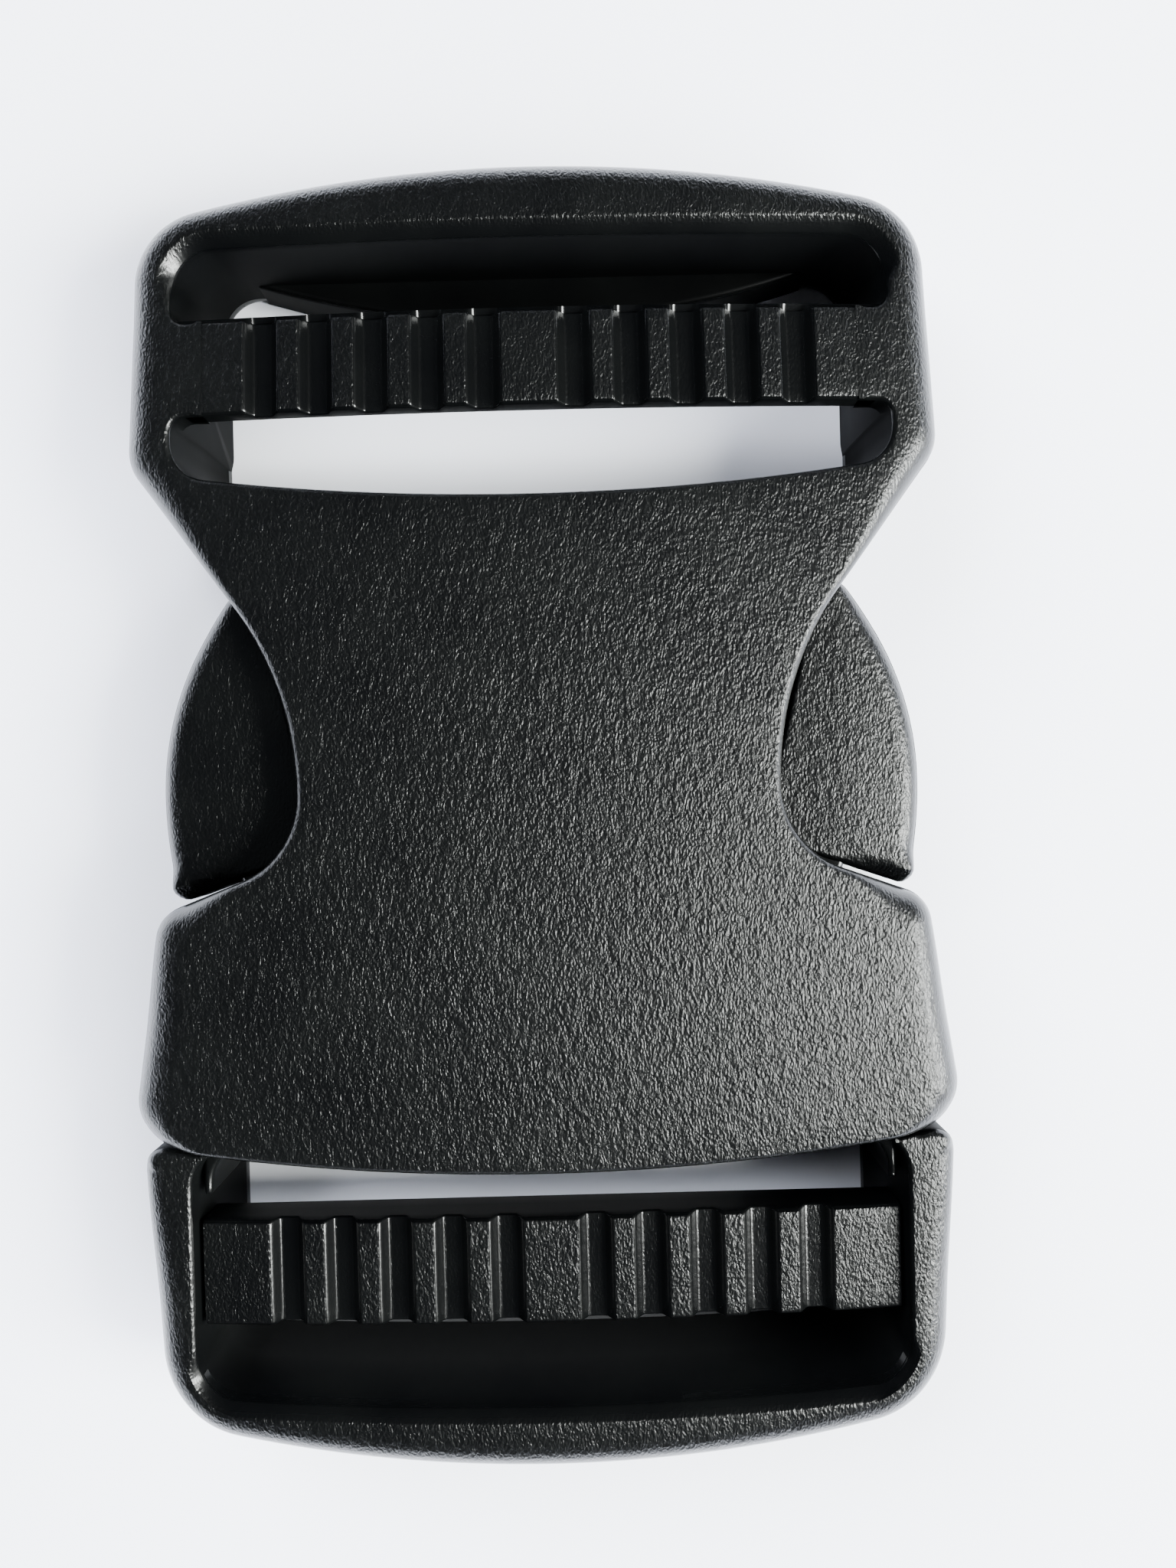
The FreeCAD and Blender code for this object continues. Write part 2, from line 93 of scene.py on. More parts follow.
PLUG_CROWN_Z = 10.2
BACK_RIM = 0.6
SPACING = 0.3  # between points along an outline

HALF_LENGTH = node_box("socket_end_bar")[1][1]
SOCKET_CROWN_Z = 11.8
SLOT_END_Y = node_box("socket_end_bar")[0][1]
BAR_LOW, BAR_HIGH = node_box("socket_ladder_bar")
SLOT_HALF = BAR_HIGH[0]
THROAT_LOW_Y = node_box("socket_throat")[0][1]
PLUG_BAR_LOW, PLUG_BAR_HIGH = node_box("plug_ladder_bar")
DECK_Z = node_box("socket_bottom_deck")[1][2]
ROOF_Z = node_box("socket_right_skirt")[1][2]
POCKET_HALF = node_box("socket_right_skirt")[0][0]
BEAM_LOW, BEAM_HIGH = node_box("plug_cross_beam")
MOUTH_Y = node_box("socket_bottom_deck")[0][1]


def bow(radius, reach):
    return radius - np.sqrt(radius**2 - np.square(reach))


def crown(apex_z, apex_y):
    def height(x, y):
        return apex_z - bow(CROWN_ALONG, y - apex_y) - bow(CROWN_ACROSS, x)

    return height


socket_front = crown(SOCKET_CROWN_Z, SOCKET_CROWN_Y)
plug_front = crown(PLUG_CROWN_Z, PLUG_CROWN_Y)


def ease(value, start, end):
    """0 before start, 1 after end, and a smooth step between."""
    t = np.clip((value - start) / (end - start), 0, 1)
    return t * t * (3 - 2 * t)


# ---------------------------------------------------------------- outlines in plan
def straight(a, b, steps=24):
    t = np.linspace(0, 1, steps)[:, None]
    return np.array(a) * (1 - t) + np.array(b) * t


def round_about(centre, radius, start, end, steps=48):
    angle = np.linspace(start, end, steps)
    return np.array(centre) + radius * np.stack([np.cos(angle), np.sin(angle)], 1)


def bowed(half_width, edge_y, middle_y, steps=96):
    """A shallow arc from -half_width to half_width."""
    x = np.linspace(-half_width, half_width, steps)
    sag = abs(edge_y - middle_y)
    radius = (half_width**2 + sag**2) / (2 * sag)
    rise = bow(radius, x) * np.sign(edge_y - middle_y)
    return np.stack([x, middle_y + rise], 1)


def walk(points, distance):
    """The chain of points with this much cut off its start."""
    step = np.linalg.norm(np.diff(points, axis=0), axis=1)
    run = np.concatenate([[0], np.cumsum(step)])
    distance = min(distance, run[-1] * 0.98)
    i = int(np.searchsorted(run, distance, side="right"))
    t = (distance - run[i - 1]) / (run[i] - run[i - 1])
    cut = points[i - 1] * (1 - t) + points[i] * t
    return np.vstack([cut, points[i:]])


def loop_pieces(chains, radii):
    """The chains and rounded corners of a closed outline, in order. Corner i, before chain i, is
    rounded to radii[i]."""
    chains = [np.array(c, float) for c in chains]
    corners = []
    for i, radius in enumerate(radii):
        before, after = chains[i - 1], chains[i]
        d_in = before[-1] - before[-2]
        d_out = after[1] - after[0]
        d_in = d_in / np.linalg.norm(d_in)
        d_out = d_out / np.linalg.norm(d_out)
        turn = math.acos(float(np.clip(d_in @ d_out, -1, 1)))
        if radius <= 0 or turn < 0.02:
            corners.append(None)
            continue
        reach = radius * math.tan(turn / 2)
        chains[i - 1] = walk(before[::-1], reach)[::-1]
        chains[i] = walk(after, reach)
        corners.append((radius, turn))
    pieces = []
    for i, corner in enumerate(corners):
        if corner:
            before, after = chains[i - 1], chains[i]
            radius, turn = corner
            d_in = before[-1] - before[-2]
            d_out = after[1] - after[0]
            handle = 4 / 3 * math.tan(turn / 4) * radius
            p0, p3 = before[-1], after[0]
            p1 = p0 + d_in / np.linalg.norm(d_in) * handle
            p2 = p3 - d_out / np.linalg.norm(d_out) * handle
            t = np.linspace(0, 1, 24)[:, None]
            pieces.append(
                (1 - t) ** 3 * p0 + 3 * (1 - t) ** 2 * t * p1 + 3 * (1 - t) * t**2 * p2 + t**3 * p3
            )
        pieces.append(chains[i])
    return pieces


def length_of(chain):
    return float(np.sum(np.linalg.norm(np.diff(chain, axis=0), axis=1)))


def resampled(chain, count):
    """count points along an open chain, its last point left out."""
    run = np.concatenate([[0], np.cumsum(np.linalg.norm(np.diff(chain, axis=0), axis=1))])
    at = np.linspace(0, run[-1], count, endpoint=False)
    return np.stack([np.interp(at, run, chain[:, k]) for k in (0, 1)], 1)


def closed_loop(chains, radii):
    points = np.vstack(loop_pieces(chains, radii))
    keep = np.linalg.norm(points - np.roll(points, 1, axis=0), axis=1) > 1e-6
    return points[keep]


def matched_loops(front_pieces, back_pieces):
    """Front and back outlines of a drafted edge, point for point."""
    front, back = [], []
    for near, far in zip(front_pieces, back_pieces):
        count = max(2, round(max(length_of(near), length_of(far)) / SPACING))
        front.append(resampled(near, count))
        back.append(resampled(far, count))
    return np.vstack(front), np.vstack(back)


def evenly(points, spacing=SPACING):
    """The closed outline with its points evenly spaced."""
    ring = np.vstack([points, points[:1]])
    run = np.concatenate([[0], np.cumsum(np.linalg.norm(np.diff(ring, axis=0), axis=1))])
    count = int(run[-1] / spacing)
    at = np.linspace(0, run[-1], count, endpoint=False)
    return np.stack([np.interp(at, run, ring[:, k]) for k in (0, 1)], 1)


def mirror(chain):
    return (np.array(chain) * (-1, 1))[::-1]


def socket_outline():
    """Counter-clockwise, from the right-hand outer corner."""
    frame_half = SLOT_HALF + RAIL_WIDTH
    end_half = frame_half - SIDE_TAPER
    corner = (end_half, HALF_LENGTH - bow(END_RADIUS, end_half))
    flank = (
        WAIST_HALF + WAIST_UPPER * (1 - math.cos(FLANK_ANGLE)),
        WAIST_Y + WAIST_UPPER * math.sin(FLANK_ANGLE),
    )
    shoulder = (frame_half, flank[1] + (frame_half - flank[0]) / math.tan(FLANK_ANGLE))
    waist_high = round_about(
        (WAIST_HALF + WAIST_UPPER, WAIST_Y), WAIST_UPPER, math.pi, math.pi - FLANK_ANGLE
    )
    foot_turn = math.pi / 2 - LATCH_SLOPE
    waist_low = round_about(
        (WAIST_HALF + WAIST_LOWER, WAIST_Y), WAIST_LOWER, math.pi + foot_turn, math.pi
    )
    latch = waist_low[0]
    drop = (SKIRT_TOP_HALF - latch[0]) * math.tan(LATCH_SLOPE)
    skirt_top = (SKIRT_TOP_HALF, latch[1] - drop)
    mouth = (SKIRT_MOUTH_HALF, MOUTH_Y + bow(MOUTH_RADIUS, SKIRT_MOUTH_HALF))
    waist = np.vstack([waist_low, waist_high[1:]])
    right = [
        (straight(mouth, skirt_top), SKIRT_MOUTH_CORNER),
        (straight(skirt_top, latch), SKIRT_TOP_CORNER),
        (waist, 0),
        (straight(flank, shoulder), 0),
        (straight(shoulder, corner), SHOULDER_CORNER),
    ]
    top = bowed(end_half, corner[1], HALF_LENGTH)[::-1]
    bottom = bowed(mouth[0], mouth[1], MOUTH_Y)
    left = [
        (mirror(right[4][0]), FRAME_CORNER),
        (mirror(right[3][0]), SHOULDER_CORNER),
        (mirror(right[2][0]), 0),
        (mirror(right[1][0]), 0),
        (mirror(right[0][0]), SKIRT_TOP_CORNER),
    ]
    chains = [c for c, _ in right] + [top] + [c for c, _ in left] + [bottom]
    radii = [r for _, r in right] + [FRAME_CORNER] + [r for _, r in left] + [SKIRT_MOUTH_CORNER]
    return evenly(closed_loop(chains, radii))


def point_in(loop, points):
    """Which points are inside the loop."""
    x, y = points[:, 0], points[:, 1]
    inside = np.zeros(len(points), bool)
    a, b = loop, np.roll(loop, -1, axis=0)
    for (x0, y0), (x1, y1) in zip(a, b):
        crosses = (y0 > y) != (y1 > y)
        if crosses.any():
            edge_x = (x1 - x0) * (y - y0) / (y1 - y0 + 1e-30) + x0
            inside ^= crosses & (x < edge_x)
    return inside


# ---------------------------------------------------------------- mesh building
class Builder:
    """Collects vertices, faces and each vertex's share of surface grain."""

    def __init__(self):
        self.points, self.faces, self.grain = [], [], []
        self.count = 0

    def add(self, points, grain):
        first = self.count
        points = np.asarray(points, float)
        self.points.append(points)
        self.grain.append(np.broadcast_to(np.asarray(grain, float), (len(points),)))
        self.count += len(points)
        return np.arange(first, self.count)

    def ring_faces(self, a, b):
        """Quads between two closed rings of vertex numbers, a being the lower one."""
        a2, b2 = np.roll(a, -1), np.roll(b, -1)
        self.faces += np.stack([a, a2, b2, b], 1).tolist()

    def mesh(self, name):
        mesh = bpy.data.meshes.new(name)
        points = np.vstack(self.points) * MM
        mesh.from_pydata(points.tolist(), [], self.faces)
        grain = mesh.attributes.new("grain", "FLOAT", "POINT")
        grain.data.foreach_set("value", np.concatenate(self.grain).astype(np.float32))
        mesh.validate()
        obj = bpy.data.objects.new(name, mesh)
        bpy.context.scene.collection.objects.link(obj)
        return obj


QUARTER = np.linspace(0, math.pi / 2, 7)
ROUND_PROFILE = np.stack([1 - np.cos(QUARTER), 1 - np.sin(QUARTER)], 1)
CHAMFER_RUN_DOWN = 0.12  # a chamfer reaches this much further down than a round, as a share of it
CHAMFER_PROFILE = np.array(  # from the wall, in and down from the edge, as shares of its radius
    [(0, 1.12), (0.03, 1.0), (0.12, 0.86), (0.5, 0.48), (0.86, 0.1), (1.0, 0.02), (1.15, 0.0)]
)
WALL_STEPS = (0.04, 0.5, 0.96)  # rings up a wall, as shares of its height
BACK_RIM_GRAIN = 0.3  # share of the grain on the back's edges
GRAIN_STARTS = 1.5  # rings up a front edge where its grain starts, and how many it takes
GRAIN_RUN = 3.5
FILL_PITCH = 1.5  # between the points inside a face
NEAR_BORDER = 0.4  # in pitches, how near a face's outline such a point may be


def inward(loop):
    """Unit normals to the left of a loop's direction."""
    tangent = np.roll(loop, -1, axis=0) - np.roll(loop, 1, axis=0)
    tangent /= np.linalg.norm(tangent, axis=1)[:, None] + 1e-12
    return np.stack([-tangent[:, 1], tangent[:, 0]], 1)


def fill(builder, rings, height, grain, upwards, pitch):
    """Closes the face inside the first ring and outside the others, following height(x, y)."""
    loops = [np.vstack(builder.points)[ring][:, :2] for ring in rings]
    low, high = loops[0].min(0), loops[0].max(0)
    grid_x = np.arange(low[0] + pitch / 2, high[0], pitch)
    grid_y = np.arange(low[1] + pitch / 2, high[1], pitch)
    grid = np.stack(np.meshgrid(grid_x, grid_y), -1).reshape(-1, 2)
    keep = point_in(loops[0], grid)
    for loop in loops[1:]:
        keep &= ~point_in(loop, grid)
    grid = grid[keep]
    border = np.vstack(loops)
    gap = np.array([np.min(np.sum((border - p) ** 2, 1)) for p in grid])
    grid = grid[gap > (NEAR_BORDER * pitch) ** 2] if len(grid) else grid
    numbers = np.concatenate(rings)
    coords = np.vstack([border, grid])
    edges, start = [], 0
    for loop in loops:
        n = len(loop)
        edges += [(start + i, start + (i + 1) % n) for i in range(n)]
        start += n
    found = delaunay_2d_cdt([Vector(p) for p in coords], edges, [], 0, 1e-7)
    out_co = np.array([tuple(p) for p in found[0]])
    source = [ids[0] if ids else -1 for ids in found[3]]
    inner = builder.add(
        np.column_stack([grid, height(grid[:, 0], grid[:, 1])]) if len(grid) else np.zeros((0, 3)),
        grain,
    )
    number_of = np.concatenate([numbers, inner])
    triangles = np.array([t for t in found[2]])
    centres = out_co[triangles].mean(1)
    keep = point_in(loops[0], centres)
    for loop in loops[1:]:
        keep &= ~point_in(loop, centres)
    for a, b, c in triangles[keep]:
        face = [int(number_of[source[k]]) for k in (a, b, c)]
        if len(set(face)) < 3 or -1 in (source[a], source[b], source[c]):
            continue
        pa, pb, pc = out_co[a], out_co[b], out_co[c]
        area = (pb[0] - pa[0]) * (pc[1] - pa[1]) - (pc[0] - pa[0]) * (pb[1] - pa[1])
        if (area > 0) != upwards:
            face.reverse()
        builder.faces.append(face)


def slab(loops, low, high, front_rim, back_rim=BACK_RIM, grain=1.0, pitch=FILL_PITCH):
    """A moulded plate. loops is [(front loop, back loop, chamfered share)], the outer one first and
    counter-clockwise, holes clockwise. front_rim(x, y) is the radius of its front edge."""
    builder = Builder()
    fronts, backs = [], []
    for front, back, chamfered in loops:
        normal = inward(front)
        x, y = front[:, 0], front[:, 1]
        radius = front_rim(x, y)
        share = chamfered(x, y)[:, None]
        back_radius = np.full(len(front), back_rim)
        back_normal = inward(back)
        rings = []
        low_z = low(back[:, 0], back[:, 1])
        for across, down in ROUND_PROFILE[::-1]:
            at = back + back_normal * (back_radius * across)[:, None]
            z = low(at[:, 0], at[:, 1]) + back_radius * down
            rings.append((np.column_stack([at, z]), grain if across > 0.99 else grain * BACK_RIM_GRAIN))
        edge_z = high(x, y)
        bottom_z = low_z + back_rim
        top_z = edge_z - radius * (1 + CHAMFER_RUN_DOWN * share[:, 0])
        for t in WALL_STEPS:
            z = bottom_z * (1 - t) + top_z * t
            span = (z - low_z) / (edge_z - low_z)
            at = back * (1 - span)[:, None] + front * span[:, None]
            rings.append((np.column_stack([at, z]), 0.0))
        for k in range(len(ROUND_PROFILE)):
            across = ROUND_PROFILE[k, 0] * (1 - share) + CHAMFER_PROFILE[k, 0] * share
            down = ROUND_PROFILE[k, 1] * (1 - share) + CHAMFER_PROFILE[k, 1] * share
            at = front + normal * (radius[:, None] * across)
            z = high(at[:, 0], at[:, 1]) - radius * down[:, 0]
            part = np.clip((k - GRAIN_STARTS) / GRAIN_RUN, 0, 1) ** 1.5
            rings.append((np.column_stack([at, z]), grain * part))
        numbers = [builder.add(points, g) for points, g in rings]
        for a, b in zip(numbers, numbers[1:]):
            builder.ring_faces(a, b)
        fronts.append(numbers[-1])
        backs.append(numbers[0])
    fill(builder, fronts, high, grain, True, pitch)
    fill(builder, backs, low, grain, False, FILL_PITCH)
    return builder


def level(value):
    """A height, radius or share that is the same everywhere."""

    def everywhere(x, y):
        return np.full(np.shape(x), float(value))

    return everywhere


def plain_plate(name, loop, low, high, front_rim, back_rim):
    """An upright plate without grain or chamfer."""
    loops = [(loop, loop, level(0))]
    return slab(loops, level(low), level(high), level(front_rim), back_rim, grain=0.0).mesh(name)


def box_object(name, low, high):
    corners = [(x, y, z) for x in (low[0], high[0]) for y in (low[1], high[1]) for z in (low[2], high[2])]
    faces = [(0, 1, 3, 2), (4, 6, 7, 5), (0, 4, 5, 1), (2, 3, 7, 6), (0, 2, 6, 4), (1, 5, 7, 3)]
    mesh = bpy.data.meshes.new(name)
    mesh.from_pydata((np.array(corners) * MM).tolist(), [], faces)
    obj = bpy.data.objects.new(name, mesh)
    bpy.context.scene.collection.objects.link(obj)
    return obj


def wedge_object(name, low_half, high_half, y_range, z_range):
    """A block across the buckle, wider at its top."""
    obj = box_object(name, (-low_half, y_range[0], z_range[0]), (low_half, y_range[1], z_range[1]))
    for vertex in obj.data.vertices:
        if vertex.co.z > (z_range[0] + z_range[1]) / 2 * MM:
            vertex.co.x *= high_half / low_half
    return obj


def cut(obj, tools):
    """Takes each tool's space out of obj."""
    for tool in tools:
        modifier = obj.modifiers.new("cut", "BOOLEAN")
        modifier.operation = "DIFFERENCE"
        modifier.solver = "EXACT"
        modifier.object = tool
    depsgraph = bpy.context.evaluated_depsgraph_get()
    mesh = bpy.data.meshes.new_from_object(obj.evaluated_get(depsgraph))
    obj.modifiers.clear()
    obj.data = mesh
    for tool in tools:
        bpy.data.objects.remove(tool)


def joined(name, parts):
    """One object from several, each already in place."""
    with bpy.context.temp_override(
        active_object=parts[0], object=parts[0], selected_objects=parts, selected_editable_objects=parts
    ):
        bpy.ops.object.join()
    parts[0].name = name
    parts[0].data.name = name
    return parts[0]


WALL_UPRIGHT = 0.5  # a face whose normal rises less than this is a wall


def turn_faces_and_shade_walls(obj, materials):
    """Turns every face outward, and gives the moulding's long ungrained walls the copy of the plastic whose
    reflection is nearly cut out: painted shade that keeps those walls dark.
    """
    mesh = obj.data
    shape = bmesh.new()
    shape.from_mesh(mesh)
    bmesh.ops.recalc_face_normals(shape, faces=shape.faces)
    shape.to_mesh(mesh)
    shape.free()
    mesh.materials.clear()
    for material in materials:
        mesh.materials.append(material)
    grain = np.zeros(len(mesh.vertices))
    if "grain" in mesh.attributes:
        mesh.attributes["grain"].data.foreach_get("value", grain)
    for face in mesh.polygons:
        bare = max(grain[i] for i in face.vertices) < 0.05
        wall = abs(face.normal.z) < WALL_UPRIGHT
        face.material_index = 1 if bare and wall else 0


def smooth(obj, degrees=32):
    obj.data.polygons.foreach_set("use_smooth", [True] * len(obj.data.polygons))
    obj.data.set_sharp_from_angle(angle=math.radians(degrees))


# ---------------------------------------------------------------- the socket moulding
SIDE_RIM = 2.0  # radii of the socket's front edge
CORNER_RIM = 1.7
WAIST_RIM = 0.5
SKIRT_INNER_RIM = 0.45
SKIRT_LOWER_RIM = 0.5  # added down the skirt
MOUTH_RIM = 0.35
MOUTH_CORNER_RIM = 2.5
CORNER_SPAN = (30.0, 37.0)  # where each radius turns into the next
FLANK_SPAN = (12.5, 21.5)
SKIRT_SPAN = (18.0, 22.3)
SKIRT_LOWER_SPAN = (-13.0, -7.0)
MOUTH_SPAN = (20.5, 24.8)
WAIST_END_Y = 5.0
MOUTH_EDGE_Y = -18.6


def between(first, last, value, span):
    """first before the span, last after it, and a smooth change between."""
    return first + (last - first) * ease(value, *span)


def socket_rim(x, y):
    """Radius of the socket's front edge: thin at the waist and mouth, full on the sides."""
    x = np.abs(x)
    side = between(SIDE_RIM, CORNER_RIM, y, CORNER_SPAN)
    flank = between(WAIST_RIM, side, y, FLANK_SPAN)
    skirt = between(SKIRT_INNER_RIM, SIDE_RIM, x, SKIRT_SPAN)
    skirt = skirt + between(SKIRT_LOWER_RIM, 0, y, SKIRT_LOWER_SPAN)
    mouth = between(MOUTH_RIM, MOUTH_CORNER_RIM, x, MOUTH_SPAN)
    body = np.where(y > WAIST_END_Y, flank, skirt)
    return np.where(y < MOUTH_EDGE_Y, mouth, body)


STUB_X = SLOT_HALF - 1.0  # the slots' inner corners run out onto the bar by this much
STUB_DEPTH = 1.2
STUB_LAP = 0.04  # the bar runs on under the stubs by this much below their front
STUB_LAP_START = 0.2


def socket_hole(half_width):
    """Both slots in one, with stubs for the ladder bar. Counter-clockwise before it is turned."""
    low_y = THROAT_HIGH_Y
    ends_y = low_y + THROAT_BOW
    right_low = straight((half_width, ends_y), (half_width, BAR_LOW[1]))
    stub_low = straight((half_width, BAR_LOW[1]), (STUB_X, BAR_LOW[1]))
    stub = straight((STUB_X, BAR_LOW[1]), (STUB_X, BAR_HIGH[1]))
    stub_high = straight((STUB_X, BAR_HIGH[1]), (half_width, BAR_HIGH[1]))
    right_high = straight((half_width, BAR_HIGH[1]), (half_width, SLOT_END_Y))
    reach = half_width - STUB_X
    corner = min(BAR_CORNER, reach * 0.9)
    parts = [
        (bowed(half_width, ends_y, low_y), SLOT_CORNER),
        (right_low, SLOT_CORNER),
        (stub_low, corner),
        (stub, 0),
        (stub_high, 0),
        (right_high, corner),
        (straight((half_width, SLOT_END_Y), (-half_width, SLOT_END_Y), 96), SLOT_CORNER),
        (mirror(right_high), SLOT_CORNER),
        (mirror(stub_high), corner),
        (mirror(stub), 0),
        (mirror(stub_low), 0),
        (mirror(right_low), corner),
    ]
    return loop_pieces([chain for chain, _ in parts], [radius for _, radius in parts])


INNER_SLOT_RIM = 0.35
OUTER_SLOT_RIM = 0.9
STUB_RIM = 0.32
SHARP_RIM = 0.02  # where a stub meets its bar
SLOT_CHAMFER = 0.9  # share of a chamfer in the outer slots' rims
INSIDE_REACH = 0.2  # points this near a slot's outline belong to it
OUTER_SLOT_SPAN = (BAR_HIGH[1] + 1.0, BAR_HIGH[1] + 3.0)
STUB_SPAN = (STUB_X, STUB_X + 0.8)


def socket_hole_rim(x, y):
    """Radius of the socket's slot edges."""
    x = np.abs(x)
    rim = between(INNER_SLOT_RIM, OUTER_SLOT_RIM, y, OUTER_SLOT_SPAN)
    near_bar = (y > BAR_LOW[1] - BAR_CORNER) & (y < BAR_HIGH[1] + BAR_CORNER)
    rim = np.where(near_bar, between(SHARP_RIM, STUB_RIM, x, STUB_SPAN), rim)
    at_bar = (y > BAR_LOW[1] - SHARP_RIM) & (y < BAR_HIGH[1] + SHARP_RIM) & (x < STUB_X + STUB_RIM)
    return np.where(at_bar, SHARP_RIM, rim)


LIP_ROOT = 0.3  # how far the lip runs into the end bar
LIP_REACH_ON = 0.4  # how much further than the CAD's it reaches
LIP_RIM = 0.35
LIP_BACK_RIM = 0.1
GUIDE_ROOT = np.array([0, 0, 0.2])  # how far the guides run into both decks
WINDOW_REACH = 40.0  # past the buckle's sides
MOUTH_REACH = 5.0
BELOW_BACK = 1.0


def build_socket():
    outline = socket_outline()
    front, back = matched_loops(socket_hole(SLOT_HALF + SLOT_DRAFT), socket_hole(SLOT_HALF))
    front, back = front[::-1], back[::-1]

    def rim(x, y):
        across = np.abs(x) < SLOT_HALF + SLOT_DRAFT + INSIDE_REACH
        along = (y > THROAT_HIGH_Y - INSIDE_REACH) & (y < SLOT_END_Y + INSIDE_REACH)
        return np.where(across & along, socket_hole_rim(x, y), socket_rim(x, y))

    def chamfered(x, y):
        return SLOT_CHAMFER * ease(y, *OUTER_SLOT_SPAN)

    loops = [(outline, outline, level(0)), (front, back, chamfered)]
    shell = slab(loops, level(0), socket_front, rim).mesh("socket_shell")
    latch_y = WAIST_Y - WAIST_LOWER * math.cos(LATCH_SLOPE)
    stub_z = float(socket_front(SLOT_HALF, BAR_HIGH[1])) - STUB_DEPTH
    cut(
        shell,
        [
            box_object(
                "pocket", (-POCKET_HALF, MOUTH_Y - MOUTH_REACH, DECK_Z), (POCKET_HALF, THROAT_LOW_Y, ROOF_Z)
            ),
            box_object(
                "windows", (-WINDOW_REACH, latch_y, DECK_Z), (WINDOW_REACH, THROAT_LOW_Y, ROOF_Z)
            ),
            wedge_object(
                "under_bar",
                SLOT_HALF - SLOT_DRAFT / SOCKET_CROWN_Z,
                SLOT_HALF + SLOT_DRAFT * stub_z / SOCKET_CROWN_Z,
                (BAR_LOW[1] - BAR_CORNER, BAR_HIGH[1] + BAR_CORNER),
                (-BELOW_BACK, stub_z),
            ),
        ],
    )
    bar = ladder_bar(
        "socket_bar",
        SLOT_HALF + BAR_RUN_IN,
        (BAR_LOW, BAR_HIGH),
        socket_front,
        taper=SOCKET_BAR_TAPER,
        foot=SOCKET_BAR_FOOT,
        bulge=SOCKET_BAR_BULGE,
    )
    lip_low, lip_high = node_box("socket_strap_lip")
    root_y = lip_high[1] + LIP_ROOT
    lip_root = straight((lip_high[0], root_y), (-lip_high[0], root_y), 60)
    lip_edge = bowed(lip_high[0], lip_high[1], lip_low[1] - LIP_REACH_ON, 120)
    lip_loop = evenly(np.vstack([lip_root, lip_edge]))
    lip = plain_plate("lip", lip_loop, 0, lip_high[2], LIP_RIM, LIP_BACK_RIM)
    guides = []
    for side in ("left", "right"):
        low, high = node_box(f"socket_{side}_guide")
        guides.append(box_object("guide", low - GUIDE_ROOT, high + GUIDE_ROOT))
    obj = joined("socket_moulding", [shell, bar, lip] + guides)
    smooth(obj)
    return obj


# ---------------------------------------------------------------- ladder bars
GROOVE_FIRST = 2.7
GROOVE_PITCH = 3.35
GROOVE_FLOOR_HALF = 0.55
GROOVE_LEAN = 0.47
GROOVE_DEPTH = 0.8
GROOVES = 5
GROOVE_EDGE = 0.12  # rounding of a groove's edges
GROOVE_TOP_HALF = GROOVE_FLOOR_HALF + GROOVE_LEAN
GROOVE_FLOOR_GRAIN = 0.35
GROOVE_WALL_GRAIN = 0.1
ALMOST_FLAT = 0.02  # a share this near 0 or 1 counts as a land or a floor
BAR_EDGE = 0.3  # radius of a bar's front edges, half of it in the grooves
GRAIN_FROM_ANGLE = 1.0  # radians round a front edge
BAR_SIDE_DROP = 0.35  # a bar's sides are upright this far below its groove floors
BAR_TAPER_HEIGHT = 1.4
BULGE_RISE = 0.2
SOCKET_BAR_TAPER = 0.9
SOCKET_BAR_FOOT = 0.4
SOCKET_BAR_BULGE = 0.35
PLUG_BAR_FOOT = 0.1
BAR_RUN_IN = 0.7  # a bar's ends go this far into the rails
PLUG_BAR_RUN_IN = 0.6


def groove_centres():
    return [side * (GROOVE_FIRST + k * GROOVE_PITCH) for side in (-1, 1) for k in range(GROOVES)]


def groove_share(x):
    """How much of a groove's depth lies below x: 0 on a land and 1 on a floor."""
    away = min(abs(x - centre) for centre in groove_centres())
    reach = away + np.linspace(-GROOVE_EDGE, GROOVE_EDGE, 9)
    return float(np.mean(np.clip((GROOVE_TOP_HALF - reach) / GROOVE_LEAN, 0, 1)))


def groove_stations(half_width):
    """Places along a bar, dense where a groove's walls are."""
    stations = list(np.linspace(-half_width, half_width, int(2 * half_width)))
    wall = np.linspace(GROOVE_FLOOR_HALF - 2 * GROOVE_EDGE, GROOVE_TOP_HALF + 2 * GROOVE_EDGE, 18)
    for centre in groove_centres():
        stations += list(centre - wall) + list(centre + wall)
    stations = sorted(stations)
    return [x for x, following in zip(stations, stations[1:] + [1e9]) if following - x > 0.01]


